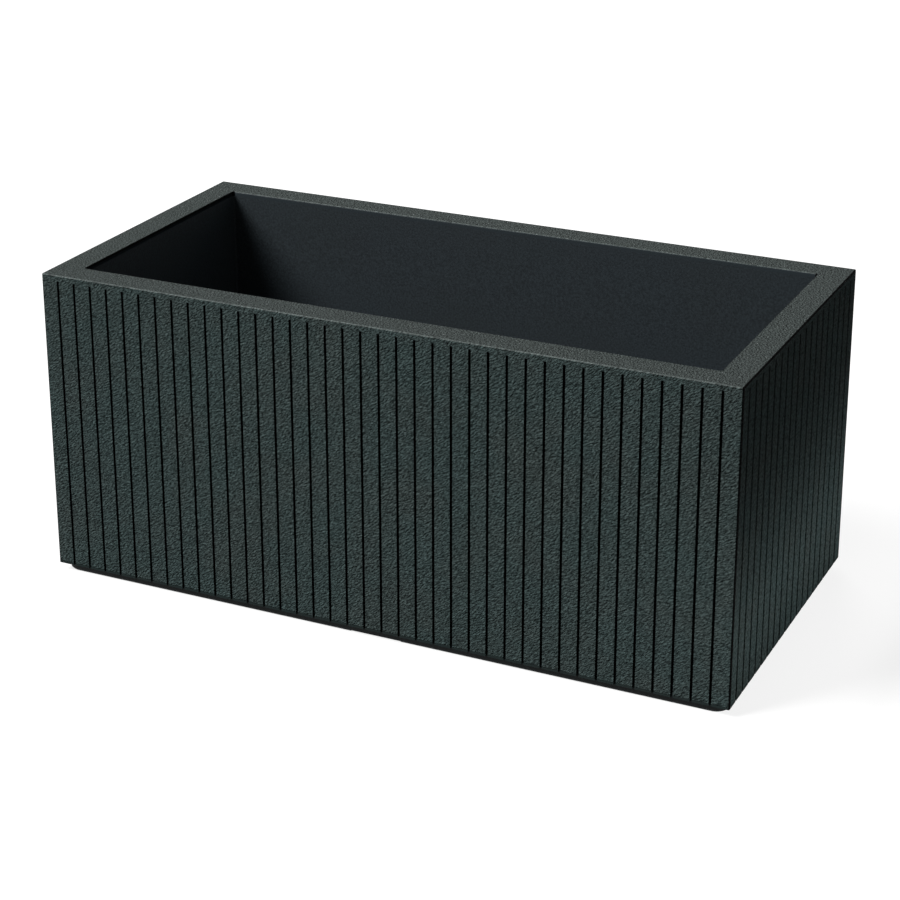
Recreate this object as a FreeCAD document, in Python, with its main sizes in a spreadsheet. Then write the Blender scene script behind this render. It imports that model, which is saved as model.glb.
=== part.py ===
import FreeCAD, Part
import math
import os
import Sketcher

# Rectangular floor planter with boarded walls.
# Millimetres, +Z up, origin on the ground under the planter's middle.
# +X runs along the long side and the front is at -Y.

# Driving dimensions
SIZES = {
    # Outer shell
    "shell_length": 800,
    "shell_width": 389,
    "shell_height": 347.5,
    "shell_wall": 4.5,
    "shell_edge_round": 1.5,
    "rim_width": 34,
    "rim_thickness": 5,
    "opening_corner_round": 3,
    "opening_edge_chamfer": 1.2,
    # Grooves between the boards, and the ridges that thicken the wall behind them
    "board_width": 20.5,
    "groove_width": 2.3,
    "groove_depth": 2.5,
    "groove_headroom": 7,
    "ridge_width": 8,
    "ridge_depth": 2,
    "ridge_gap": 4,
    # Gussets under the rim
    "gusset_pitch": 100,
    "gusset_thickness": 2.5,
    "gusset_height": 40,
    "gusset_land": 5,
    # Base pan
    "pan_reveal": 9,
    "pan_upstand": 20,
    "pan_wall": 3,
    "pan_floor": 3,
    "pan_corner_round": 16.5,
    "pan_edge_chamfer": 2,
    "fit_clearance": 0.3,
    "foot_relief": 1.5,
    "foot_width": 16,
    "foot_bar_spacing": 260,
    "runoff_width": 60,
    "pan_rib_height": 20,
    "pan_rib_thickness": 2.5,
    "pan_cell": 88,
    # Screw pillars in the pan and bosses in the shell
    "pillar_radius": 7,
    "pillar_web": 4,
    "counterbore_radius": 4.75,
    "screw_hole_radius": 2.3,
    "boss_radius": 5.5,
    "boss_height": 42,
    "boss_web_thickness": 3,
    "boss_pilot_depth": 14,
    "corner_screw_inset": 60,
    # Screws
    "shank_radius": 2,
    "shank_clearance": 0.05,
    "shank_length": 16,
    "head_radius": 4,
    "head_height": 2.6,
    "drive_size": 3.6,
    "drive_slot": 1,
    "drive_depth": 1.4,
    # Inner tub
    "tub_wall": 3,
    "tub_floor": 3,
    "tub_floor_chamfer": 2,
    "tub_flange_width": 12,
    "tub_flange_thickness": 3,
    # Drains
    "drain_spacing": 428,
    "sump_radius": 26,
    "sump_depth": 14,
    "sump_wall": 3,
    "sump_gap": 1.5,
    "sump_edge_chamfer": 1.5,
    "drain_radius": 10,
    "spigot_wall": 3,
    "spigot_gap": 0.5,
    # Drain plugs and washers
    "plug_clearance": 0.05,
    "plug_flange_radius": 17,
    "plug_flange_thickness": 2.5,
    "plug_shank_length": 11,
    "plug_shank_wall": 2.2,
    "plug_grip_width": 24,
    "plug_grip_height": 8,
    "plug_grip_thickness": 3.5,
    "plug_grip_round": 1.4,
    "washer_radius": 16,
    "washer_thickness": 1.5,
    "washer_clearance": 0.1,
    # How far every cut runs past the face it breaks through
    "overrun": 1,
}
# An angle in degrees and a count
ANGLES_AND_COUNTS = {
    "tub_draft": 1,
    "screws_along_side": 3,
}

doc = FreeCAD.newDocument("planter")
sheet = doc.addObject("Spreadsheet::Sheet", "Sizes")
for row, (alias, amount) in enumerate({**SIZES, **ANGLES_AND_COUNTS}.items(), start=1):
    sheet.set("A%d" % row, alias)
    sheet.set("B%d" % row, str(amount))
    sheet.setAlias("B%d" % row, alias)
doc.recompute()


def of(text):
    """Expression text with each alias in it read from the sheet."""
    out = []
    word = ""
    for char in text + " ":
        if char.isalnum() or char == "_":
            word += char
            continue
        out.append("Sizes." + word if word in SIZES or word in ANGLES_AND_COUNTS else word)
        out.append(char)
        word = ""
    return "".join(out).strip()


# Sizes that follow from the driving ones
HALF_LENGTH = "(shell_length / 2)"
HALF_WIDTH = "(shell_width / 2)"
LONG_BOARDS = "round(shell_length / board_width)"
SHORT_BOARDS = "round(shell_width / board_width)"
LONG_PITCH = "(shell_length / %s)" % LONG_BOARDS
SHORT_PITCH = "(shell_width / %s)" % SHORT_BOARDS
PAN_INSET = "(shell_wall + fit_clearance)"
PAN_HALF_LENGTH = "(shell_length / 2 - %s)" % PAN_INSET
PAN_HALF_WIDTH = "(shell_width / 2 - %s)" % PAN_INSET
PAN_TOP = "(pan_reveal + pan_upstand)"
PAN_FLOOR_TOP = "(foot_relief + pan_floor)"
TUB_SEAT = "(foot_relief + pan_floor + pan_rib_height)"
RIM_UNDERSIDE = "(pan_reveal + shell_height - rim_thickness)"
TUB_HEIGHT = "(%s - %s)" % (RIM_UNDERSIDE, TUB_SEAT)
SCREW_INSET = "(%s + pan_wall / 2 + pillar_radius)" % PAN_INSET
SCREW_HALF_LENGTH = "(shell_length / 2 - corner_screw_inset)"
SCREW_HALF_WIDTH = "(shell_width / 2 - %s)" % SCREW_INSET
SCREW_SEAT = "(%s - pillar_web)" % PAN_TOP
SUMP_OUTER = "(sump_radius + sump_wall)"
SUMP_FLOOR = "(tub_floor - sump_depth)"
SPIGOT_OUTER = "(drain_radius + spigot_wall)"
PLUG_SEAT = "(%s + %s + washer_thickness)" % (TUB_SEAT, SUMP_FLOOR)

# Each pair of walls: name, repeat axis, half extent along it and across it, pitch and count of its boards
WALL_PAIRS = (
    ("long", "X_Axis", HALF_LENGTH, HALF_WIDTH, LONG_PITCH, LONG_BOARDS),
    ("short", "Y_Axis", HALF_WIDTH, HALF_LENGTH, SHORT_PITCH, SHORT_BOARDS),
)
# Each pair of gusset rows: name, repeat axis, half extent along it and across it, and the row's whole length
GUSSET_ROWS = (
    ("long", "X_Axis", HALF_LENGTH, HALF_WIDTH, "shell_length"),
    ("short", "Y_Axis", HALF_WIDTH, HALF_LENGTH, "shell_width"),
)


def value(text):
    """The value, in millimetres, of a length written in the sheet's aliases."""
    found = sheet.evalExpression(of(text))
    return float(getattr(found, "Value", found))


def bind(thing, prop, text):
    thing.setExpression(prop, of(text))


def new_body(name, height="0"):
    """A body labelled as its piece, with its own origin at the given height."""
    body = doc.addObject("PartDesign::Body", name)
    body.Label = name
    bind(body, "Placement.Base.z", height)
    return body


def origin(body, role):
    return next(f for f in body.Origin.OriginFeatures if f.Role == role)


def new_sketch(body, name, plane="XY_Plane", height="0"):
    """A sketch on one of the body's origin planes, moved off it by a height."""
    sketch = body.newObject("Sketcher::SketchObject", name)
    sketch.AttachmentSupport = (origin(body, plane), [""])
    sketch.MapMode = "FlatFace"
    if height != "0":
        bind(sketch, "AttachmentOffset.Base.z", height)
    return sketch


def add_line(sketch, start, end):
    return sketch.addGeometry(Part.LineSegment(FreeCAD.Vector(*start, 0), FreeCAD.Vector(*end, 0)), False)


def place_point(sketch, name, geometry, point, at):
    """Holds a sketch point at two distances from the origin, both bound to the sheet."""
    for axis, kind, text in ((0, "DistanceX", at[0]), (1, "DistanceY", at[1])):
        index = sketch.addConstraint(Sketcher.Constraint(kind, -1, 1, geometry, point, value(text)))
        label = "%s_%s" % (name, "xy"[axis])
        sketch.renameConstraint(index, label)
        bind(sketch, "Constraints." + label, text)


def add_outline(sketch, name, points):
    """A closed outline of straight lines through points written in the sheet's aliases."""
    places = [tuple(value(t) for t in point) for point in points]
    lines = [add_line(sketch, places[k], places[(k + 1) % len(places)]) for k in range(len(places))]
    for k, line in enumerate(lines):
        after = lines[(k + 1) % len(lines)]
        sketch.addConstraint(Sketcher.Constraint("Coincident", line, 2, after, 1))
    for k, line in enumerate(lines):
        place_point(sketch, "%s_%d" % (name, k), line, 1, points[k])


def add_rectangle(sketch, name, low, high):
    add_outline(sketch, name, [low, (high[0], low[1]), high, (low[0], high[1])])


def add_centred_rectangle(sketch, name, half_x, half_y, centre=("0", "0")):
    low = ("%s - %s" % (centre[0], half_x), "%s - %s" % (centre[1], half_y))
    high = ("%s + %s" % (centre[0], half_x), "%s + %s" % (centre[1], half_y))
    add_rectangle(sketch, name, low, high)


def add_rounded_rectangle(sketch, name, half_x, half_y, radius):
    """A centred rectangle whose corners are arcs, tangent to its sides."""
    wide, deep, turn = value(half_x), value(half_y), value(radius)
    arcs = []
    for k, (x_sign, y_sign) in enumerate(((1, 1), (-1, 1), (-1, -1), (1, -1))):
        centre = FreeCAD.Vector(x_sign * (wide - turn), y_sign * (deep - turn), 0)
        round_corner = Part.Circle(centre, FreeCAD.Vector(0, 0, 1), turn)
        quarter = Part.ArcOfCircle(round_corner, k * math.pi / 2, (k + 1) * math.pi / 2)
        arcs.append(sketch.addGeometry(quarter, False))
    for k, arc in enumerate(arcs):
        after = arcs[(k + 1) % len(arcs)]
        start = sketch.getPoint(arc, 2)
        end = sketch.getPoint(after, 1)
        side = add_line(sketch, (start.x, start.y), (end.x, end.y))
        sketch.addConstraint(Sketcher.Constraint("Tangent", arc, 2, side, 1))
        sketch.addConstraint(Sketcher.Constraint("Tangent", side, 2, after, 1))
    for k, (x_sign, y_sign) in enumerate(((1, 1), (-1, 1), (-1, -1), (1, -1))):
        centre_x = "%d * (%s - (%s))" % (x_sign, half_x, radius)
        centre_y = "%d * (%s - (%s))" % (y_sign, half_y, radius)
        place_point(sketch, "%s_%d" % (name, k), arcs[k], 3, (centre_x, centre_y))
        bind_radius(sketch, "%s_%d_radius" % (name, k), arcs[k], radius)


def bind_radius(sketch, label, geometry, radius):
    index = sketch.addConstraint(Sketcher.Constraint("Radius", geometry, value(radius)))
    sketch.renameConstraint(index, label)
    bind(sketch, "Constraints." + label, radius)


def add_circle(sketch, name, centre, radius):
    at = FreeCAD.Vector(value(centre[0]), value(centre[1]), 0)
    circle = sketch.addGeometry(Part.Circle(at, FreeCAD.Vector(0, 0, 1), value(radius)), False)
    place_point(sketch, name, circle, 3, centre)
    bind_radius(sketch, name + "_radius", circle, radius)


def add_profile(sketch, name, role, points):
    """An outline whose points are given along the repeat direction and across it."""
    add_outline(sketch, name, points if role == "X_Axis" else [point[::-1] for point in points])


def add_strip(sketch, name, role, middle, thickness, near_end, far_end):
    """A rectangle whose thickness runs along the repeat direction."""
    low, high = ["(%s %s %s / 2)" % (middle, sign, thickness) for sign in "-+"]
    add_profile(sketch, name, role, [(low, near_end), (high, near_end), (high, far_end), (low, far_end)])


def drain_circles(body, name, height, radius):
    """A sketch with one circle at each drain."""
    sketch = new_sketch(body, name, height=height)
    for side, sign in (("left", "-1"), ("right", "1")):
        add_circle(sketch, side, ("%s * drain_spacing / 2" % sign, "0"), radius)
    return sketch


def extrude(body, kind, name, sketch, length, reverse=False, midplane=False):
    """A pad or a pocket of a sketch. A pocket runs against the sketch's normal unless reversed."""
    feature = body.newObject("PartDesign::" + kind, name)
    feature.Profile = sketch
    bind(feature, "Length", length)
    feature.Reversed = reverse
    if midplane:
        feature.SideType = "Symmetric"
    sketch.Visibility = False
    return feature


def repeat(body, name, feature, steps):
    """A linear pattern: steps are (axis role, extent, count) along one or two of the body's axes."""
    pattern = body.newObject("PartDesign::LinearPattern", name)
    pattern.Originals = [feature]
    for suffix, (role, extent, count) in zip(("", "2"), steps):
        setattr(pattern, "Direction" + suffix, (origin(body, role), [""]))
        setattr(pattern, "Mode" + suffix, "Extent")
        bind(pattern, "Length" + suffix, extent)
        bind(pattern, "Occurrences" + suffix, count)
    body.Tip = pattern
    return pattern


def dress_up(body, kind, name, sort, wanted):
    """A fillet, chamfer or draft on the edges or faces of the body's tip that a test picks."""
    doc.recompute()
    base = body.Tip
    found = base.Shape.Edges if sort == "Edge" else base.Shape.Faces
    picked = ["%s%d" % (sort, k) for k, one in enumerate(found, start=1) if wanted(one)]
    if not picked:
        raise RuntimeError("%s found no %s" % (name, sort.lower()))
    feature = body.newObject("PartDesign::" + kind, name)
    feature.Base = (base, picked)
    body.Tip = feature
    return feature


def round_edges(body, name, radius, wanted):
    bind(dress_up(body, "Fillet", name, "Edge", wanted), "Radius", radius)


def chamfer_edges(body, name, size, wanted):
    bind(dress_up(body, "Chamfer", name, "Edge", wanted), "Size", size)


def lean_walls(body, name, angle, height, wanted, reverse):
    """A draft on upright walls, which keep their place at the flat face at this height."""
    base = body.Tip
    draft = dress_up(body, "Draft", name, "Face", wanted)
    for k, face in enumerate(base.Shape.Faces, start=1):
        if near(face.BoundBox.ZMin, value(height)):
            draft.NeutralPlane = (base, ["Face%d" % k])
            break
    bind(draft, "Angle", angle)
    draft.Reversed = reverse


def near(a, b):
    """Whether two lengths agree to a hair, measured against the planter's own wall."""
    return abs(a - b) < value("shell_wall") / 1000


def lies_at(edge, axis, place):
    """Whether every end and the middle of an edge has this coordinate."""
    points = [v.Point for v in edge.Vertexes] + [edge.valueAt((edge.FirstParameter + edge.LastParameter) / 2)]
    return all(near(point[axis], place) for point in points)


def upright(edge):
    points = [v.Point for v in edge.Vertexes]
    return len(points) == 2 and near(points[0].x, points[1].x) and near(points[0].y, points[1].y)


def steep(edge):
    """Whether a straight edge climbs, upright or at the tub's draft."""
    points = [v.Point for v in edge.Vertexes]
    if len(points) != 2:
        return False
    rise = abs(points[0].z - points[1].z)
    return rise > points[0].distanceToPoint(points[1]) / 2


def closed_at(edge, height):
    """Whether an edge is a whole circle at this height."""
    return edge.isClosed() and lies_at(edge, 2, height)


def outer_shell():
    """The boarded walls and the flat rim, moulded in one and open below."""
    body = new_body("outer_shell", "pan_reveal")
    cavity_height = "shell_height - rim_thickness"

    plan = new_sketch(body, "shell_plan")
    add_centred_rectangle(plan, "outside", HALF_LENGTH, HALF_WIDTH)
    extrude(body, "Pad", "shell_block", plan, "shell_height")

    hollow = new_sketch(body, "shell_hollow")
    hollow_half = ["(%s - shell_wall)" % half for half in (HALF_LENGTH, HALF_WIDTH)]
    add_centred_rectangle(hollow, "inside", *hollow_half)
    extrude(body, "Pocket", "shell_cavity", hollow, cavity_height, reverse=True)

    opening = new_sketch(body, "rim_opening", height="shell_height")
    opening_half = ["(%s - rim_width)" % half for half in (HALF_LENGTH, HALF_WIDTH)]
    add_centred_rectangle(opening, "opening", *opening_half)
    extrude(body, "Pocket", "rim_cut", opening, "rim_thickness + overrun")

    def corner_at(edge, half_length):
        return upright(edge) and near(abs(edge.Vertexes[0].X), value(half_length))

    opening_x = opening_half[0]
    round_edges(body, "opening_corners", "opening_corner_round", lambda edge: corner_at(edge, opening_x))
    top = value("shell_height")

    def on_top(edge, outside):
        box = edge.BoundBox
        far = near(max(abs(box.XMin), abs(box.XMax)), value(HALF_LENGTH))
        return lies_at(edge, 2, top) and far == outside

    chamfer_edges(body, "opening_edge", "opening_edge_chamfer", lambda edge: on_top(edge, False))
    round_edges(body, "shell_edges", "shell_edge_round",
                lambda edge: corner_at(edge, HALF_LENGTH) or on_top(edge, True))

    # What joins a wall from inside starts within it, clear of the grooves
    sink = "(shell_wall - groove_depth) / 2"

    # Gussets that stiffen the rim and centre the tub's flange
    for name, role, half_along, half_across, span in GUSSET_ROWS:
        pitch = "(%s / round(%s / gusset_pitch))" % (span, span)
        start = "(%s / 2 - %s)" % (pitch, half_along)
        plane = "YZ_Plane" if role == "X_Axis" else "XZ_Plane"
        offset = start if role == "X_Axis" else "-1 * " + start
        sketch = new_sketch(body, name + "_gussets", plane, offset)
        reach = "(rim_width - tub_wall - tub_flange_width - fit_clearance)"
        for side, sign in (("low", "-1"), ("high", "1")):
            wall = "(%s * (%s - shell_wall + %s))" % (sign, half_across, sink)
            tip = "(%s * (%s - %s))" % (sign, half_across, reach)
            points = [
                (wall, cavity_height + " - gusset_height"),
                (tip, cavity_height + " - gusset_land"),
                (tip, cavity_height),
                (wall, cavity_height),
            ]
            add_outline(sketch, side, points)
        gusset = extrude(body, "Pad", name + "_gusset", sketch, "gusset_thickness", midplane=True)
        count = "round(%s / gusset_pitch)" % span
        extent = "%s * (%s - 1)" % (pitch, count)
        repeat(body, name + "_gusset_row", gusset, [(role, extent, count)])

    # Screw bosses, each tied to its wall by a web
    step = [("X_Axis", "2 * " + SCREW_HALF_LENGTH, "screws_along_side")]
    bosses = new_sketch(body, "boss_plan", height="pan_upstand")
    pilots = new_sketch(body, "pilot_plan", height="pan_upstand")
    for side, sign in (("front", "-1"), ("back", "1")):
        centre = ("-1 * " + SCREW_HALF_LENGTH, "%s * %s" % (sign, SCREW_HALF_WIDTH))
        add_circle(bosses, side, centre, "boss_radius")
        add_circle(pilots, side, centre, "shank_radius + shank_clearance")
    repeat(body, "bosses", extrude(body, "Pad", "boss", bosses, "boss_height"), step)
    webs = new_sketch(body, "boss_webs", "YZ_Plane", "-1 * " + SCREW_HALF_LENGTH)
    for side, sign in (("front", "-1"), ("back", "1")):
        wall = "(%s * (%s - shell_wall + %s))" % (sign, HALF_WIDTH, sink)
        middle = "(%s * %s)" % (sign, SCREW_HALF_WIDTH)
        points = [
            (wall, "pan_upstand"),
            (middle, "pan_upstand"),
            (middle, "pan_upstand + boss_height"),
            (wall, "pan_upstand + boss_height + " + SCREW_INSET),
        ]
        add_outline(webs, side, points)
    repeat(body, "webs", extrude(body, "Pad", "web", webs, "boss_web_thickness", midplane=True), step)
    pilot = extrude(body, "Pocket", "pilot_hole", pilots, "boss_pilot_depth", reverse=True)
    repeat(body, "pilot_holes", pilot, step)

    # Low ridges on the inside that thicken the wall behind each groove
    ridge_start = "pan_upstand + ridge_gap"
    ridge_height = "shell_height - rim_thickness - pan_upstand - ridge_gap"
    for name, role, half_along, half_across, pitch, boards in WALL_PAIRS:
        first = "(%s - %s)" % (pitch, half_along)
        extent = "%s * (%s - 2)" % (pitch, boards)
        count = "%s - 1" % boards
        backing = new_sketch(body, name + "_ridges", height=ridge_start)
        cut = new_sketch(body, name + "_grooves")
        for side, sign in (("low", "-1"), ("high", "1")):
            crest = "(%s * (%s - shell_wall - ridge_depth))" % (sign, half_across)
            inner = "(%s * (%s - shell_wall))" % (sign, half_across)
            within = "(%s * (%s - shell_wall + %s))" % (sign, half_across, sink)
            low, high = ["(%s %s ridge_width / 2)" % (first, way) for way in "-+"]
            points = [(low, within), (low, inner), (first, crest), (high, inner), (high, within)]
            add_profile(backing, side, role, points)
            floor = "(%s * (%s - groove_depth))" % (sign, half_across)
            beyond = "(%s * (%s + overrun))" % (sign, half_across)
            add_strip(cut, side, role, first, "groove_width", floor, beyond)
        ridge = extrude(body, "Pad", name + "_ridge", backing, ridge_height)
        repeat(body, name + "_ridge_row", ridge, [(role, extent, count)])
        groove_height = "shell_height - groove_headroom"
        groove = extrude(body, "Pocket", name + "_groove", cut, groove_height, reverse=True)
        repeat(body, name + "_groove_row", groove, [(role, extent, count)])
    return body


def base_pan():
    """The ribbed tray that closes the shell from below and carries the tub."""
    body = new_body("base_pan")
    plan = new_sketch(body, "pan_plan")
    add_rounded_rectangle(plan, "outside", PAN_HALF_LENGTH, PAN_HALF_WIDTH, "pan_corner_round")
    extrude(body, "Pad", "pan_block", plan, PAN_TOP)
    chamfer_edges(body, "pan_bottom_edge", "pan_edge_chamfer", lambda edge: lies_at(edge, 2, 0))

    inner_half = ["(%s - pan_wall)" % half for half in (PAN_HALF_LENGTH, PAN_HALF_WIDTH)]
    tray = new_sketch(body, "pan_hollow", height=PAN_TOP)
    add_rounded_rectangle(tray, "inside", *inner_half, "pan_corner_round - pan_wall")
    extrude(body, "Pocket", "pan_tray", tray, "%s - %s" % (PAN_TOP, PAN_FLOOR_TOP))

    # The rib grid under the tub
    for name, role, along, across in (
        ("cross", "X_Axis", PAN_HALF_LENGTH, PAN_HALF_WIDTH),
        ("long", "Y_Axis", PAN_HALF_WIDTH, PAN_HALF_LENGTH),
    ):
        span = "(2 * (%s - pan_wall))" % along
        cells = "round(%s / pan_cell)" % span
        first = "(%s / %s - %s / 2)" % (span, cells, span)
        sketch = new_sketch(body, name + "_rib", height=PAN_FLOOR_TOP)
        end = "(%s - pan_wall / 2)" % across
        add_strip(sketch, "rib", role, first, "pan_rib_thickness", "-1 * " + end, end)
        rib = extrude(body, "Pad", name + "_rib_pad", sketch, "pan_rib_height")
        extent = "%s / %s * (%s - 2)" % (span, cells, cells)
        repeat(body, name + "_ribs", rib, [(role, extent, cells + " - 1")])

    # A collar in the grid round each sump
    collar_outer = "%s + sump_gap + pan_rib_thickness" % SUMP_OUTER
    collar = drain_circles(body, "collar_plan", PAN_FLOOR_TOP, collar_outer)
    extrude(body, "Pad", "collars", collar, "pan_rib_height")
    well = drain_circles(body, "well_plan", TUB_SEAT, "%s + sump_gap" % SUMP_OUTER)
    extrude(body, "Pocket", "wells", well, "pan_rib_height")
    outlet = drain_circles(body, "outlet_plan", PAN_FLOOR_TOP, "%s + spigot_gap" % SPIGOT_OUTER)
    extrude(body, "Pocket", "outlets", outlet, "%s + overrun" % PAN_FLOOR_TOP)

    # Screw pillars, bored from below for the heads
    step = [("X_Axis", "2 * " + SCREW_HALF_LENGTH, "screws_along_side")]
    for name, kind, radius, start, length in (
        ("pillar", "Pad", "pillar_radius", PAN_FLOOR_TOP, "%s - %s" % (PAN_TOP, PAN_FLOOR_TOP)),
        ("counterbore", "Pocket", "counterbore_radius", "0", SCREW_SEAT),
        ("screw_hole", "Pocket", "screw_hole_radius", SCREW_SEAT, "pillar_web + overrun"),
    ):
        sketch = new_sketch(body, name + "_plan", height=start)
        for side, sign in (("front", "-1"), ("back", "1")):
            centre = ("-1 * " + SCREW_HALF_LENGTH, "%s * %s" % (sign, SCREW_HALF_WIDTH))
            add_circle(sketch, side, centre, radius)
        feature = extrude(body, kind, name, sketch, length, reverse=kind == "Pocket")
        repeat(body, name + "s", feature, step)

    # The underside: feet all round and across, with shallow run-off slots between them
    relief = new_sketch(body, "relief_plan")
    foot_half = ["(%s - foot_width)" % half for half in (PAN_HALF_LENGTH, PAN_HALF_WIDTH)]
    bar_low, bar_high = ["(foot_bar_spacing / 2 %s foot_width / 2)" % sign for sign in "-+"]
    for name, low, high in (
        ("left", "-1 * " + foot_half[0], "-1 * " + bar_high),
        ("middle", "-1 * " + bar_low, bar_low),
        ("right", bar_high, foot_half[0]),
    ):
        add_rectangle(relief, name, (low, "-1 * " + foot_half[1]), (high, foot_half[1]))
    extrude(body, "Pocket", "relief", relief, "foot_relief", reverse=True)
    half_slot = "runoff_width / 2"
    for name, half_x, half_y in (
        ("long_runoff", HALF_LENGTH, half_slot),
        ("cross_runoff", half_slot, HALF_WIDTH),
    ):
        slot = new_sketch(body, name + "_plan")
        add_centred_rectangle(slot, "slot", "(%s)" % half_x, "(%s)" % half_y)
        extrude(body, "Pocket", name, slot, "foot_relief", reverse=True)
    return body


def inner_tub():
    """The smooth tub that holds the soil, with a sump and a spigot at each drain."""
    body = new_body("inner_tub", TUB_SEAT)
    inner_half = ["(%s - rim_width)" % half for half in (HALF_LENGTH, HALF_WIDTH)]
    outer_half = ["(%s + tub_wall)" % half for half in inner_half]
    flange_half = ["(%s + tub_flange_width)" % half for half in outer_half]

    def wall_at(face, half):
        middle = face.CenterOfMass
        return near(abs(middle.x), value(half[0])) or near(abs(middle.y), value(half[1]))

    outside = new_sketch(body, "tub_plan", height=TUB_HEIGHT)
    add_centred_rectangle(outside, "outside", *outer_half)
    extrude(body, "Pad", "tub_block", outside, TUB_HEIGHT, reverse=True)
    inside = new_sketch(body, "tub_hollow", height=TUB_HEIGHT)
    add_centred_rectangle(inside, "inside", *inner_half)
    extrude(body, "Pocket", "tub_cavity", inside, "%s - tub_floor" % TUB_HEIGHT)
    for name, half, reverse in (("inside", inner_half, False), ("outside", outer_half, True)):
        lean_walls(body, name + "_draft", "tub_draft", TUB_HEIGHT, lambda face: wall_at(face, half), reverse)

    def corner_from(edge, half):
        return steep(edge) and near(max(abs(v.X) for v in edge.Vertexes), value(half[0]))

    outer_round = "opening_corner_round + tub_wall"
    round_edges(body, "tub_outer_corners", outer_round, lambda edge: corner_from(edge, outer_half))
    round_edges(body, "tub_inner_corners", "opening_corner_round", lambda edge: corner_from(edge, inner_half))
    floor_z = value("tub_floor")
    chamfer_edges(body, "tub_floor_edge", "tub_floor_chamfer", lambda edge: lies_at(edge, 2, floor_z))
    flange = new_sketch(body, "flange_plan", height=TUB_HEIGHT)
    add_centred_rectangle(flange, "flange", *flange_half)
    root_half = ["(%s - tub_wall / 2)" % half for half in outer_half]
    add_rounded_rectangle(flange, "root", *root_half, "opening_corner_round + tub_wall / 2")
    extrude(body, "Pad", "tub_flange", flange, "tub_flange_thickness", reverse=True)

    sump_under = "sump_depth + sump_wall - tub_floor"
    cups = drain_circles(body, "sump_cup_plan", "0", SUMP_OUTER)
    extrude(body, "Pad", "sump_cups", cups, sump_under, reverse=True)
    wells = drain_circles(body, "sump_plan", "tub_floor", "sump_radius")
    extrude(body, "Pocket", "sumps", wells, "sump_depth")
    chamfer_edges(body, "sump_edges", "sump_edge_chamfer", lambda edge: closed_at(edge, floor_z))
    tubes = drain_circles(body, "spigot_plan", "-1 * (%s)" % sump_under, SPIGOT_OUTER)
    spigot_length = "%s - (%s) - foot_relief" % (TUB_SEAT, sump_under)
    extrude(body, "Pad", "spigots", tubes, spigot_length, reverse=True)
    bores = drain_circles(body, "drain_plan", SUMP_FLOOR, "drain_radius")
    extrude(body, "Pocket", "drains", bores, "%s + sump_wall + overrun" % spigot_length)
    return body


def base_screws():
    """The self-tapping screws, driven up through the pan's pillars into the shell's bosses."""
    body = new_body("base_screws", SCREW_SEAT)
    body.AllowCompound = True
    bind(body, "Placement.Base.x", "-1 * " + SCREW_HALF_LENGTH)
    bind(body, "Placement.Base.y", "-1 * " + SCREW_HALF_WIDTH)
    profile = new_sketch(body, "screw_profile", "XZ_Plane")
    points = [
        ("0", "-1 * head_height"),
        ("head_radius", "-1 * head_height"),
        ("head_radius", "0"),
        ("shank_radius", "0"),
        ("shank_radius", "shank_length"),
        ("0", "shank_length"),
    ]
    add_outline(profile, "half", points)
    screw = body.newObject("PartDesign::Revolution", "screw")
    screw.Profile = profile
    screw.ReferenceAxis = (profile, ["V_Axis"])
    profile.Visibility = False
    drive = new_sketch(body, "drive_plan", height="-1 * head_height")
    arm, half_slot = "(drive_size / 2)", "(drive_slot / 2)"
    cross = []
    for x_sign, y_sign in ((1, 1), (-1, 1), (-1, -1), (1, -1)):
        corner = [(half_slot, arm), (half_slot, half_slot), (arm, half_slot)]
        if x_sign == y_sign:
            corner.reverse()
        cross += [("%d * %s" % (x_sign, x), "%d * %s" % (y_sign, y)) for x, y in corner]
    add_outline(drive, "cross", cross)
    recess = extrude(body, "Pocket", "drive_recess", drive, "drive_depth", reverse=True)
    row = repeat(body, "screw_grid", screw, [
        ("X_Axis", "2 * " + SCREW_HALF_LENGTH, "screws_along_side"),
        ("Y_Axis", "2 * " + SCREW_HALF_WIDTH, "2"),
    ])
    row.Originals = [screw, recess]
    return body


def drain_plug(side, sign):
    """A moulded plug: hollow shank, flange and finger grip."""
    body = new_body("drain_plug_" + side, PLUG_SEAT)
    bind(body, "Placement.Base.x", "%s * drain_spacing / 2" % sign)
    flange = new_sketch(body, side + "_flange")
    add_circle(flange, "flange", ("0", "0"), "plug_flange_radius")
    extrude(body, "Pad", side + "_plug_flange", flange, "plug_flange_thickness")
    grip = new_sketch(body, side + "_grip", height="plug_flange_thickness")
    grip_half = ("(plug_grip_width / 2)", "(plug_grip_thickness / 2)")
    add_rounded_rectangle(grip, "grip", *grip_half, "plug_grip_round")
    extrude(body, "Pad", side + "_plug_grip", grip, "plug_grip_height")
    shank = new_sketch(body, side + "_shank")
    add_circle(shank, "shank", ("0", "0"), "drain_radius - plug_clearance")
    extrude(body, "Pad", side + "_plug_shank", shank, "plug_shank_length", reverse=True)
    bore = new_sketch(body, side + "_shank_bore", height="-1 * plug_shank_length")
    add_circle(bore, "bore", ("0", "0"), "drain_radius - plug_clearance - plug_shank_wall")
    extrude(body, "Pocket", side + "_plug_bore", bore, "plug_shank_length", reverse=True)
    return body


def plug_washer(side, sign):
    """The soft ring between a plug's flange and the floor of its sump."""
    body = new_body("plug_washer_" + side, "%s - washer_thickness" % PLUG_SEAT)
    bind(body, "Placement.Base.x", "%s * drain_spacing / 2" % sign)
    ring = new_sketch(body, side + "_washer")
    add_circle(ring, "outside", ("0", "0"), "washer_radius")
    add_circle(ring, "inside", ("0", "0"), "drain_radius - plug_clearance + washer_clearance")
    extrude(body, "Pad", side + "_washer_ring", ring, "washer_thickness")
    return body


pieces = [outer_shell(), base_pan(), inner_tub(), base_screws()]
for side, sign in (("left", "-1"), ("right", "1")):
    pieces += [drain_plug(side, sign), plug_washer(side, sign)]
doc.recompute()

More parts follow.
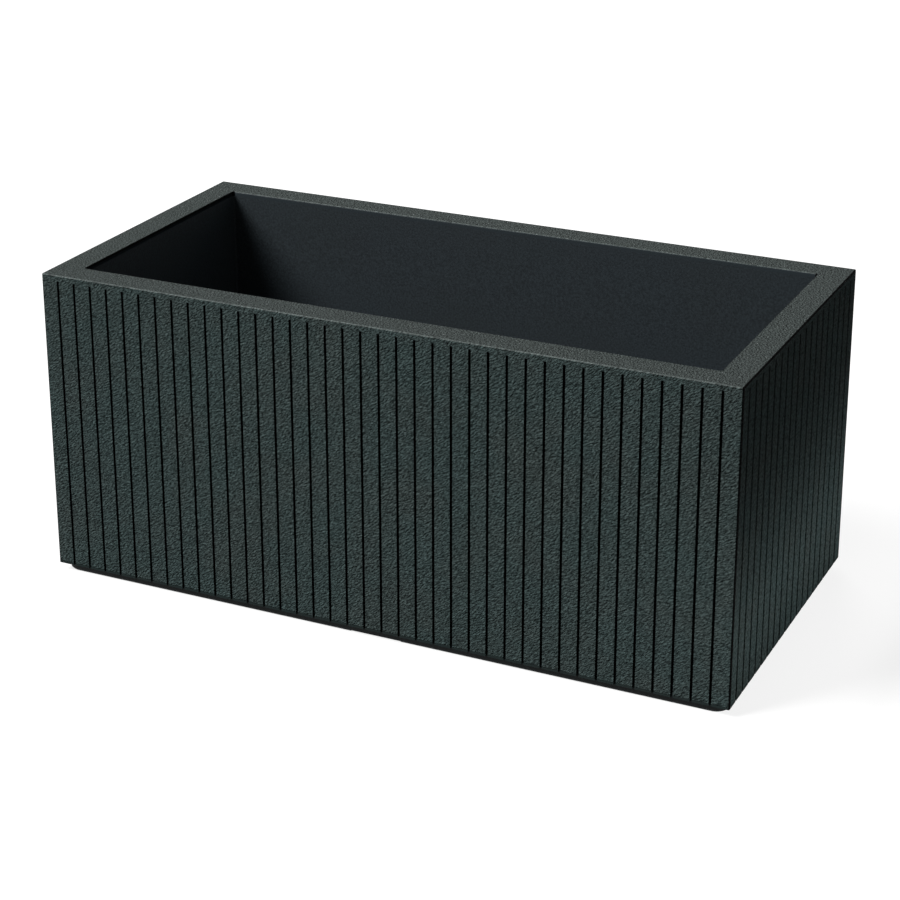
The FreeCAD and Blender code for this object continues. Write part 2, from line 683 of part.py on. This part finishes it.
for thing in doc.Objects:
    if "Invalid" in thing.State or "Error" in thing.State:
        raise RuntimeError("%s failed: %s" % (thing.Name, thing.State))
for piece in pieces:
    if piece.Shape.isNull() or not piece.Shape.isValid():
        raise RuntimeError(piece.Label + " has no sound shape")

os.makedirs("parts", exist_ok=True)
for piece in pieces:
    piece.Shape.exportStep("parts/%s.step" % piece.Label)
    box = piece.Shape.BoundBox
    size = "%.1f x %.1f x %.1f" % (box.XLength, box.YLength, box.ZLength)
    volume = piece.Shape.Volume
    print("%-20s %2d solids  %s mm  %.0f mm3" % (piece.Label, len(piece.Shape.Solids), size, volume))
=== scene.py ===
import math

import bpy
from mathutils import Matrix, Vector


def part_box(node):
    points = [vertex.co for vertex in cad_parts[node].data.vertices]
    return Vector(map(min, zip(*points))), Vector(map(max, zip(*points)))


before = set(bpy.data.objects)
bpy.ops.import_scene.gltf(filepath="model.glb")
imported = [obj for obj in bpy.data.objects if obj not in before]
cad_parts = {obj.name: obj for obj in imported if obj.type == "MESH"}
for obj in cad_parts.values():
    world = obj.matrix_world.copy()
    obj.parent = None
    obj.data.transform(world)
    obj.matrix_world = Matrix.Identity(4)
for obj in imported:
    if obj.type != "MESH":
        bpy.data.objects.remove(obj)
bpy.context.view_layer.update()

# Looks of a rectangular floor planter with boarded, textured walls. Metres, +Z up, front at -Y.

SHELL_LOW, SHELL_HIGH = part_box("outer_shell")
SHELL_HALF = (SHELL_HIGH.x, SHELL_HIGH.y)
LENGTH = SHELL_HIGH.x - SHELL_LOW.x

# Places of the axes in a vector
X, Y, Z = range(3)
# How a mask goes across a span of the signal that makes it
RISE = (0.0, 1.0)
FALL = (1.0, 0.0)
# The mix node's two inputs and its output, by kind of data
MIX_SOCKETS = {"FLOAT": (2, 3, 0), "VECTOR": (4, 5, 1), "RGBA": (6, 7, 2)}

# Boards along the front and the back, and along an end
BOARDS = (39, 19)
# Painted shade in the grooves: the depths behind a wall's face where it starts and is full, and its end
# under the top
GROOVE_DEPTHS = (0.0001, 0.0005)
GROOVE_TOP = 0.0065
# What is left of the colour under the painted shade in the grooves and lines
PAINTED_LINE_SHADE = 0.02
# Painted shade on the lips beside the grooves, on front and end: half the line's width, and how far a corner
# stays clear
PAINTED_LIP_HALF_WIDTHS = (0.00145, 0.0021)
PAINTED_LIP_CORNER_CLEAR = (0.004, 0.0)
# Painted shade lines on the ends, down from the top and in from each upright corner
PAINTED_END_TOP_LINE = 0.0023
PAINTED_END_CORNER_LINE = 0.0038
# A band of painted shade along the walls' bottom edge
PAINTED_BAND_HEIGHT = 0.0027
PAINTED_BAND_SHADE = 0.42
# The rim's plain inner side: the depths behind a wall's face where it starts and is full
RIM_WIDTH = 0.034
LINING_DEPTHS = (RIM_WIDTH - 0.0006, RIM_WIDTH - 0.0003)
# How far the edge of a painted line fades
LINE_FADE = 0.00015

# How much of a normal points along an axis: on a wall, round an upright corner, on a top edge, on the top
FACING_ALONG = (0.5, 0.7)
ROUNDING_START = (0.10, 0.30)
ROUNDING_END = (0.93, 0.99)
EDGE_START = (0.10, 0.35)
FACING_UP = (0.90, 0.99)

# Noises: metres between their coarsest bumps, layers of finer bumps, and the strength of those layers
GRAIN = (0.0017, 2.0, 0.5)
SPECKLE = (0.0015, 1.0, 0.5)
WARM_PATCHES = (0.055, 3.0, 0.55)
FLOW_MARKS = (0.12, 3.0, 0.5)
FINE_GRAIN = (0.0022, 2.0, 0.5)
TURNING_MARKS = (0.004, 3.0, 0.6)
DULL_PATCHES = (0.0025, 2.0, 0.5)

# Textured plastic: which way its ripples run, and how long they are along, across and through them
RIPPLE_TURN = (0, math.radians(-40), math.radians(45))
RIPPLE_STRETCH = (3.0, 1.6, 0.95)
# Places on the rim are scaled by this, which makes its grain coarser
TOP_GRAIN_SCALE = 0.8
# Its spans of noise, what they become, and the depth of its bumps by place
WARM_SPAN = (0.40, 0.66)
SPECKLE_SPAN = (0.28, 0.72)
SPECKLE_SHADES = (0.38, 1.62)
GRAIN_SPAN = (0.30, 0.70)
GRAIN_ROUGHNESS = (1.0, 0.9)
EDGE_ROUGHNESS = 0.28
GRAIN_DEPTH = 0.0072
TOP_DEPTH_SHARE = 0.8
EDGE_DEPTH_SHARE = 0.1
PLAIN_DEPTH_SHARE = 0.03
GRAIN_STRENGTH = 1.0
SHELL_SPECULAR = 0.03

# Smooth plastic: its spans of noise, what they become, and its faint bumps
FLOW_SPAN = (0.35, 0.65)
FINE_SPAN = (0.3, 0.7)
FINE_SHADES = (0.66, 1.34)
FINE_DEPTH = 0.0002
FINE_STRENGTH = 0.5
ROUGHNESS_BELOW = 0.04
ROUGHNESS_ABOVE = 0.05

# Zinc plate: turning marks squeezed along the screw's axis, and its duller patches
TURNING_SQUEEZE = (1.0, 1.0, 14.0)
TURNING_SPAN = (0.3, 0.7)
TURNING_ROUGHNESS = (0.28, 0.46)
TURNING_DEPTH = 0.0001
TURNING_STRENGTH = 0.4
DULL_SPAN = (0.4, 0.65)
ZINC_SPECULAR = 0.5

# Surface colours, linear
SHELL_COLOUR = (0.0465, 0.0680, 0.0670)
SHELL_WARM_COLOUR = (0.0500, 0.0665, 0.0645)
SHELL_TOP_COLOUR = (0.0565, 0.0675, 0.0650)
# A painted highlight: the top edges' colour, lighter than the rest
SHELL_EDGE_HIGHLIGHT_COLOUR = (0.0800, 0.0950, 0.0920)
SHELL_LINING_COLOUR = (0.0290, 0.0370, 0.0420)
TUB_COLOUR = (0.0200, 0.0262, 0.0305)
TUB_DEEP_COLOUR = (0.0180, 0.0236, 0.0270)
BASE_COLOUR = (0.0100, 0.0120, 0.0125)
BASE_DUSTY_COLOUR = (0.0150, 0.0170, 0.0170)
PLUG_COLOUR = (0.0200, 0.0235, 0.0250)
PLUG_SCUFF_COLOUR = (0.0290, 0.0320, 0.0330)
RUBBER_COLOUR = (0.0110, 0.0110, 0.0110)
RUBBER_BLOOM_COLOUR = (0.0230, 0.0230, 0.0240)
ZINC_COLOUR = (0.50, 0.50, 0.49)
ZINC_DULL_COLOUR = (0.33, 0.33, 0.32)

# Smooth finishes: the colour, the colour of the flow marks, the middle roughness and the specular level
SMOOTH_FINISHES = {
    "tub_plastic": (TUB_COLOUR, TUB_DEEP_COLOUR, 0.62, 0.2),
    "base_plastic": (BASE_COLOUR, BASE_DUSTY_COLOUR, 0.65, 0.15),
    "plug_plastic": (PLUG_COLOUR, PLUG_SCUFF_COLOUR, 0.45, 0.4),
    "washer_rubber": (RUBBER_COLOUR, RUBBER_BLOOM_COLOUR, 0.75, 0.25),
}

# Camera: a long shifted lens to the right of the front and above the rim
CAMERA_AZIMUTH = math.radians(25.058)
CAMERA_ELEVATION = math.radians(19.703)
CAMERA_DISTANCE = 3.3027 * LENGTH
CAMERA_ASIDE = 0.0052 * LENGTH
CAMERA_RAISE = 0.3558 * LENGTH
LENS_MM = 92.54
SENSOR_MM = 36
SHIFT_ASIDE = -0.00419
SHIFT_UP = -0.15556

# Lamps: where each one stands, its width and height in metres, and its power in watts
KEY_DIRECTION = Vector((-0.530, -0.420, 0.737)).normalized()
KEY_DISTANCE = 20
KEY_SIZE = (9, 9)
KEY_POWER = 6450
# A long low lamp beside the right foot, for the light that a pale floor sends up
FLOOR_FILL_OUT = 0.16
FLOOR_FILL_BACK = 0.02
FLOOR_FILL_HEIGHT = 0.07
FLOOR_FILL_SIZE = (0.7, 0.06)
FLOOR_FILL_SPREAD = math.radians(115)
FLOOR_FILL_POWER = 0.33
# A weak lamp behind the planter
BACK_FILL_DIRECTION = Vector((-0.35, 0.85, 0.38)).normalized()
BACK_FILL_DISTANCE = 4
BACK_FILL_SIZE = (2, 2)
BACK_FILL_POWER = 80
# The world's light on the object, and the white that camera, glossy and transmission rays meet
AMBIENT_STRENGTH = 0.027
WHITE_STRENGTH = 1.0

# Floor: its own pale colour, and the white that camera, glossy and transmission rays add to it
FLOOR_HALF_SIZE = 12
FLOOR_COLOUR = (0.25, 0.25, 0.25)
FLOOR_GLOW = 0.82


def node(tree, kind, inputs=None, **settings):
    """A shader node with its settings, and its inputs set to values or linked to sockets."""
    made = tree.nodes.new(kind)
    for key, setting in settings.items():
        setattr(made, key, setting)
    for key, given in (inputs or {}).items():
        if isinstance(given, bpy.types.NodeSocket):
            tree.links.new(given, made.inputs[key])
        else:
            made.inputs[key].default_value = given
    return made


def mix(tree, kind, share, one, other, **settings):
    first, second, result = MIX_SOCKETS[kind]
    inputs = {0: share, first: one, second: other}
    return node(tree, "ShaderNodeMix", inputs, data_type=kind, **settings).outputs[result]


def mix_values(tree, share, one, other):
    return mix(tree, "FLOAT", share, one, other)


def mix_places(tree, share, one, other):
    return mix(tree, "VECTOR", share, one, other)


def mix_colours(tree, share, one, other, how="MIX"):
    return mix(tree, "RGBA", share, one, other, blend_type=how)


def math_node(tree, operation, *signals):
    return node(tree, "ShaderNodeMath", dict(enumerate(signals)), operation=operation).outputs[0]


def unsigned(tree, signal):
    return math_node(tree, "ABSOLUTE", signal)


def product(tree, *signals):
    out = signals[0]
    for signal in signals[1:]:
        out = math_node(tree, "MULTIPLY", out, signal)
    return out


def largest(tree, *signals):
    out = signals[0]
    for signal in signals[1:]:
        out = math_node(tree, "MAXIMUM", out, signal)
    return out


def spread(tree, signal, span, new_span=RISE):
    """A signal stretched so that the ends of the span become those of the new span, with no overshoot."""
    low, high = span
    new_low, new_high = new_span
    inputs = {"Value": signal, "From Min": low, "From Max": high, "To Min": new_low, "To Max": new_high}
    return node(tree, "ShaderNodeMapRange", inputs, clamp=True).outputs[0]


def rest_of(tree, mask):
    """1 where the mask is 0, and 0 where it is 1."""
    return spread(tree, mask, RISE, FALL)


def around(edge):
    """The span of a fade that lies half on each side of an edge."""
    return edge - LINE_FADE, edge + LINE_FADE


def up_to(edge):
    """The span of a fade that is over at an edge."""
    return edge - LINE_FADE, edge


def new_material(name):
    material = bpy.data.materials.new(name)
    material.use_nodes = True
    material.node_tree.nodes.clear()
    return material, material.node_tree


def object_places(tree):
    return node(tree, "ShaderNodeTexCoord").outputs["Object"]


def noise(tree, where, kind):
    """One of the noises named above."""
    grain, detail, roughness = kind
    inputs = {"Vector": where, "Scale": 1 / grain, "Detail": detail, "Roughness": roughness}
    return node(tree, "ShaderNodeTexNoise", inputs).outputs[0]


def opaque(colour):
    return (*colour, 1.0)


def shaded(tree, colour, shade):
    """A colour times a number."""
    grey = node(tree, "ShaderNodeCombineColor", {0: shade, 1: shade, 2: shade}).outputs[0]
    return mix_colours(tree, 1.0, colour, grey, "MULTIPLY")


def bumps(tree, height, strength, distance):
    inputs = {"Height": height, "Strength": strength, "Distance": distance}
    return node(tree, "ShaderNodeBump", inputs).outputs[0]


def surface(tree, colour, roughness, normal, specular, metallic=0.0):
    """The shader and its output. Specular and metallic are plain numbers on the shader itself."""
    inputs = {"Base Color": colour, "Roughness": roughness, "Normal": normal}
    shader = node(tree, "ShaderNodeBsdfPrincipled", inputs)
    shader.inputs["Specular IOR Level"].default_value = specular
    shader.inputs["Metallic"].default_value = metallic
    node(tree, "ShaderNodeOutputMaterial", {"Surface": shader.outputs[0]})


def ripples(tree, where):
    """Places stretched along one slanting line, so that a grain rises to the right on front and end."""
    inputs = {"Vector": where, "Rotation": RIPPLE_TURN, "Scale": RIPPLE_STRETCH}
    return node(tree, "ShaderNodeMapping", inputs, vector_type="TEXTURE").outputs[0]


def behind_faces(tree, along, depths):
    """1 on what lies behind all four outer faces of the shell by the full depth, 0 up to the start depth."""
    start, full = depths
    shares = []
    for axis, half in enumerate(SHELL_HALF):
        off_middle = unsigned(tree, along[axis])
        shares.append(spread(tree, off_middle, (half - full, half - start), FALL))
    return product(tree, *shares)


def painted_lip_shade(tree, along, axis):
    """1 on a wall within half a lip line of a groove's middle, less a stretch at each corner: where shade is
    painted beside the grooves.
    """
    half, boards = SHELL_HALF[axis], BOARDS[axis]
    start = math_node(tree, "ADD", along[axis], half)
    from_groove = math_node(tree, "PINGPONG", start, half / boards)
    lips = spread(tree, from_groove, around(PAINTED_LIP_HALF_WIDTHS[axis]), FALL)
    off_middle = unsigned(tree, along[axis])
    off_corner = spread(tree, off_middle, up_to(half - PAINTED_LIP_CORNER_CLEAR[axis]), FALL)
    return product(tree, lips, off_corner)


def painted_shade_lines(tree, along, facing, above_painted_band):
    """1 in and beside the grooves and along the ends' edges, where shade is painted nearly black."""
    sideways = unsigned(tree, facing[X])
    on_end = spread(tree, sideways, FACING_ALONG)
    on_front = spread(tree, unsigned(tree, facing[Y]), FACING_ALONG)
    # Painted shade in the grooves and on their lips, below the rim and above the low band
    in_groove = behind_faces(tree, along, GROOVE_DEPTHS)
    front_lip_shade = product(tree, on_front, painted_lip_shade(tree, along, X))
    end_lip_shade = product(tree, on_end, painted_lip_shade(tree, along, Y))
    below_rim = spread(tree, along[Z], up_to(SHELL_HIGH.z - GROOVE_TOP), FALL)
    grooves = product(tree, largest(tree, in_groove, front_lip_shade, end_lip_shade), below_rim, above_painted_band)

    # Painted shade lines across the ends near the top and near each upright corner
    end_top = spread(tree, along[Z], around(SHELL_HIGH.z - PAINTED_END_TOP_LINE))
    off_middle = unsigned(tree, along[Y])
    end_side = spread(tree, off_middle, around(SHELL_HALF[1] - PAINTED_END_CORNER_LINE))
    painted_end_shade = product(tree, on_end, largest(tree, end_top, end_side))
    # Painted shade on the rounded upright corners
    off_front = spread(tree, sideways, ROUNDING_START)
    off_end = spread(tree, sideways, ROUNDING_END, FALL)
    return largest(tree, grooves, painted_end_shade, product(tree, off_front, off_end))


def textured_plastic():
    """Sandstone-textured plastic: a painted highlight on the top edges, painted shade in and beside the
    grooves, along the ends' edges and in a low band, and a plain rim side.
    """
    material, tree = new_material("textured_plastic")
    where = object_places(tree)
    along = node(tree, "ShaderNodeSeparateXYZ", {0: where}).outputs
    normal = node(tree, "ShaderNodeNewGeometry").outputs["Normal"]
    facing = node(tree, "ShaderNodeSeparateXYZ", {0: normal}).outputs

    on_top = spread(tree, facing[Z], FACING_UP)
    on_walls = ripples(tree, where)
    on_rim = node(tree, "ShaderNodeVectorMath", {0: where, "Scale": TOP_GRAIN_SCALE}, operation="SCALE")
    grained = mix_places(tree, on_top, on_walls, on_rim.outputs[0])
    grain = noise(tree, grained, GRAIN)
    speckle = noise(tree, grained, SPECKLE)

    # Painted shade: a dark band along the walls' bottom edge
    above_painted_band = spread(tree, along[Z], around(SHELL_LOW.z + PAINTED_BAND_HEIGHT))
    lining = behind_faces(tree, along, LINING_DEPTHS)
    rough = product(tree, above_painted_band, rest_of(tree, lining))
    # The mask of painted shade in and beside the grooves and along the ends' edges
    painted_shade = painted_shade_lines(tree, along, facing, above_painted_band)
    above_wall = spread(tree, facing[Z], EDGE_START)
    below_top = spread(tree, facing[Z], FACING_UP, FALL)
    on_edge = product(tree, above_wall, below_top, rest_of(tree, painted_shade))

    patches = spread(tree, noise(tree, where, WARM_PATCHES), WARM_SPAN)
    colour = mix_colours(tree, patches, opaque(SHELL_COLOUR), opaque(SHELL_WARM_COLOUR))
    colour = mix_colours(tree, on_top, colour, opaque(SHELL_TOP_COLOUR))
    # A painted highlight on the top edges
    colour = mix_colours(tree, on_edge, colour, opaque(SHELL_EDGE_HIGHLIGHT_COLOUR))
    colour = mix_colours(tree, lining, colour, opaque(SHELL_LINING_COLOUR))
    speckle_shade = mix_values(tree, rough, 1.0, spread(tree, speckle, SPECKLE_SPAN, SPECKLE_SHADES))
    # Painted shade: nearly black in the grooves and lines, darker in the low band
    painted_shade_factor = mix_values(tree, painted_shade, 1.0, PAINTED_LINE_SHADE)
    painted_band_shade = mix_values(tree, above_painted_band, PAINTED_BAND_SHADE, 1.0)
    colour = shaded(tree, colour, product(tree, speckle_shade, painted_shade_factor, painted_band_shade))

    grain_roughness = spread(tree, grain, GRAIN_SPAN, GRAIN_ROUGHNESS)
    roughness = mix_values(tree, on_edge, grain_roughness, EDGE_ROUGHNESS)
    depth = mix_values(tree, on_top, 1.0, TOP_DEPTH_SHARE)
    depth = mix_values(tree, on_edge, depth, EDGE_DEPTH_SHARE)
    depth = mix_values(tree, rough, PLAIN_DEPTH_SHARE, depth)
    bump = bumps(tree, product(tree, grain, depth), GRAIN_STRENGTH, GRAIN_DEPTH)
    surface(tree, colour, roughness, bump, SHELL_SPECULAR)
    return material


def smooth_plastic(name, colour, flow_colour, roughness, specular):
    """Plain moulded plastic: faint flow marks, a very fine grain and slightly uneven gloss."""
    material, tree = new_material(name)
    where = object_places(tree)
    flow = spread(tree, noise(tree, where, FLOW_MARKS), FLOW_SPAN)
    fine = noise(tree, where, FINE_GRAIN)
    mixed = mix_colours(tree, flow, opaque(colour), opaque(flow_colour))
    mixed = shaded(tree, mixed, spread(tree, fine, FINE_SPAN, FINE_SHADES))
    gloss = spread(tree, flow, RISE, (roughness - ROUGHNESS_BELOW, roughness + ROUGHNESS_ABOVE))
    bump = bumps(tree, fine, FINE_STRENGTH, FINE_DEPTH)
    surface(tree, mixed, gloss, bump, specular)
    return material


def zinc_plate():
    """Zinc-plated steel with turning marks round the screw's axis and duller patches."""
    material, tree = new_material("zinc_plate")
    where = object_places(tree)
    squeezed = node(tree, "ShaderNodeMapping", {"Vector": where, "Scale": TURNING_SQUEEZE}).outputs[0]
    marks = noise(tree, squeezed, TURNING_MARKS)
    patches = spread(tree, noise(tree, where, DULL_PATCHES), DULL_SPAN)
    colour = mix_colours(tree, patches, opaque(ZINC_COLOUR), opaque(ZINC_DULL_COLOUR))
    roughness = spread(tree, marks, TURNING_SPAN, TURNING_ROUGHNESS)
    bump = bumps(tree, marks, TURNING_STRENGTH, TURNING_DEPTH)
    surface(tree, colour, roughness, bump, ZINC_SPECULAR, metallic=1.0)
    return material


def dress_nodes():
    """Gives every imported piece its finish."""
    smooth = {name: smooth_plastic(name, *finish) for name, finish in SMOOTH_FINISHES.items()}
    finishes = {
        "outer_shell": textured_plastic(),
        "inner_tub": smooth["tub_plastic"],
        "base_pan": smooth["base_plastic"],
        "base_screws": zinc_plate(),
    }
    for side in ("left", "right"):
        finishes["drain_plug_" + side] = smooth["plug_plastic"]
        finishes["plug_washer_" + side] = smooth["washer_rubber"]
    for name, material in finishes.items():
        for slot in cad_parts[name].material_slots:
            slot.material = material


def seen_directly(tree):
    """1 for camera, glossy and transmission rays, 0 for the rest."""
    path = node(tree, "ShaderNodeLightPath").outputs
    return largest(tree, path["Is Camera Ray"], path["Is Glossy Ray"], path["Is Transmission Ray"])


def add_floor():
    mesh = bpy.data.meshes.new("floor")
    reach = FLOOR_HALF_SIZE
    corners = [(-reach, -reach, 0), (reach, -reach, 0), (reach, reach, 0), (-reach, reach, 0)]
    mesh.from_pydata(corners, [], [(0, 1, 2, 3)])
    floor = bpy.data.objects.new("floor", mesh)
    bpy.context.scene.collection.objects.link(floor)
    material, tree = new_material("pale_floor")
    own = node(tree, "ShaderNodeBsdfDiffuse", {"Color": opaque(FLOOR_COLOUR)}).outputs[0]
    strength = product(tree, seen_directly(tree), FLOOR_GLOW)
    glow = node(tree, "ShaderNodeEmission", {"Strength": strength}).outputs[0]
    both = node(tree, "ShaderNodeAddShader", {0: own, 1: glow}).outputs[0]
    node(tree, "ShaderNodeOutputMaterial", {"Surface": both})
    mesh.materials.append(material)


def add_world():
    world = bpy.data.worlds.new("studio")
    world.use_nodes = True
    tree = world.node_tree
    tree.nodes.clear()
    strength = mix_values(tree, seen_directly(tree), AMBIENT_STRENGTH, WHITE_STRENGTH)
    sky = node(tree, "ShaderNodeBackground", {"Strength": strength}).outputs[0]
    node(tree, "ShaderNodeOutputWorld", {"Surface": sky})
    bpy.context.scene.world = world


def add_lamp(name, spot, target, size, power, angle=math.pi):
    """A soft rectangular lamp that faces the target and that no camera sees."""
    lamp = bpy.data.lights.new(name, "AREA")
    lamp.shape = "RECTANGLE"
    lamp.size, lamp.size_y = size
    lamp.energy = power
    lamp.spread = angle
    holder = bpy.data.objects.new(name, lamp)
    holder.location = spot
    holder.rotation_euler = (spot - target).to_track_quat("Z", "Y").to_euler()
    holder.visible_camera = False
    bpy.context.scene.collection.objects.link(holder)


def add_lamps():
    middle = Vector((0, 0, SHELL_HIGH.z / 2))
    add_lamp("key", middle + KEY_DIRECTION * KEY_DISTANCE, middle, KEY_SIZE, KEY_POWER)
    beside = Vector((SHELL_HIGH.x + FLOOR_FILL_OUT, FLOOR_FILL_BACK, FLOOR_FILL_HEIGHT))
    right_wall = Vector((SHELL_HIGH.x, FLOOR_FILL_BACK, FLOOR_FILL_HEIGHT))
    add_lamp("floor_fill", beside, right_wall, FLOOR_FILL_SIZE, FLOOR_FILL_POWER, FLOOR_FILL_SPREAD)
    behind = middle + BACK_FILL_DIRECTION * BACK_FILL_DISTANCE
    add_lamp("back_fill", behind, middle, BACK_FILL_SIZE, BACK_FILL_POWER)


def add_camera():
    data = bpy.data.cameras.new("camera")
    data.lens = LENS_MM
    data.sensor_width = SENSOR_MM
    data.shift_x = SHIFT_ASIDE
    data.shift_y = SHIFT_UP
    camera = bpy.data.objects.new("camera", data)
    level = math.cos(CAMERA_ELEVATION)
    back = Vector((
        math.sin(CAMERA_AZIMUTH) * level,
        -math.cos(CAMERA_AZIMUTH) * level,
        math.sin(CAMERA_ELEVATION),
    ))
    right = Vector((0, 0, 1)).cross(back).normalized()
    up = back.cross(right)
    foot = Vector((0, 0, SHELL_LOW.z))
    camera.matrix_world = Matrix((right, up, back)).transposed().to_4x4()
    camera.location = foot + back * CAMERA_DISTANCE + right * CAMERA_ASIDE + up * CAMERA_RAISE
    bpy.context.scene.collection.objects.link(camera)
    bpy.context.scene.camera = camera


dress_nodes()
add_floor()
add_world()
add_lamps()
add_camera()
bpy.context.scene.view_settings.view_transform = "Standard"
